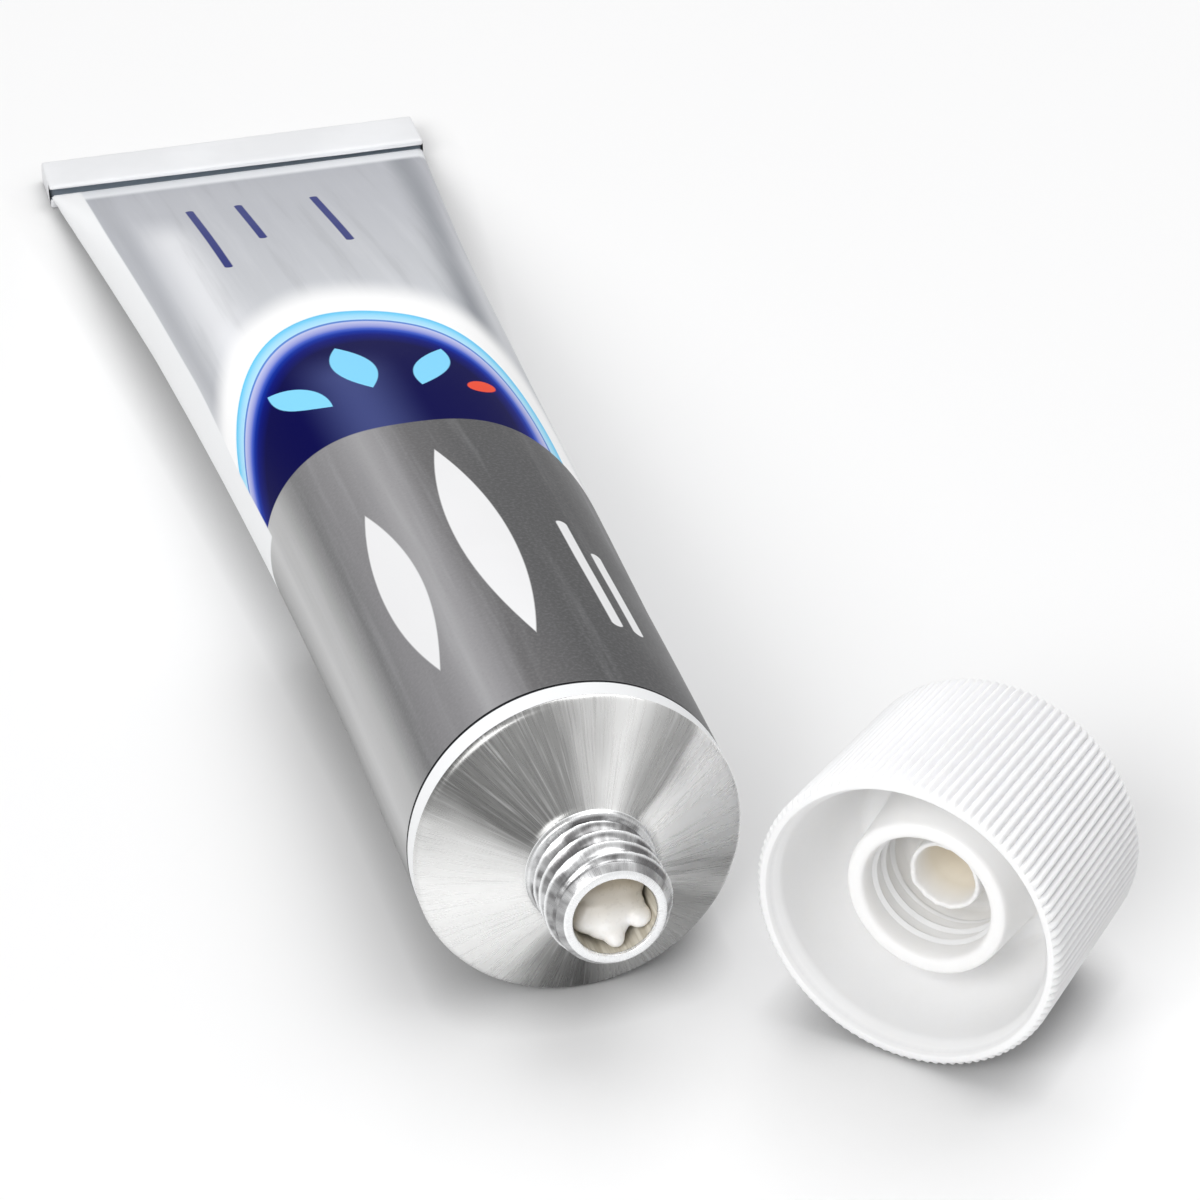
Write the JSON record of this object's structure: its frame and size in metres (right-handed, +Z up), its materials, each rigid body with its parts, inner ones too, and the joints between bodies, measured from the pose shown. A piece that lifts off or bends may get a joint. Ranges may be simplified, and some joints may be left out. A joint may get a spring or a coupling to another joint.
{
  "type": "ointment tube",
  "caption": "Collapsible metal ointment tube lying on its side, folded flat at the tail, with a threaded neck, its filling and its ribbed screw cap set beside it",
  "frame": {"origin": "middle of the footprint of tube and cap together, on the ground", "axes": "+X to the cap's side, +Y from the mouth to the folded tail, +Z up"},
  "size_m": [0.0668, 0.1868, 0.0281],
  "materials": {
    "tube": "drawn aluminium, lacquered and printed on the body and the fold, bare and turned on the shoulder and neck",
    "cream": "soft white ointment with a moist sheen",
    "cap": "white injection-moulded polypropylene, satin"
  },
  "bodies": {
    "root": {"tube": "tube", "cream": "cream", "cap": "cap"}
  },
  "joints": []
}
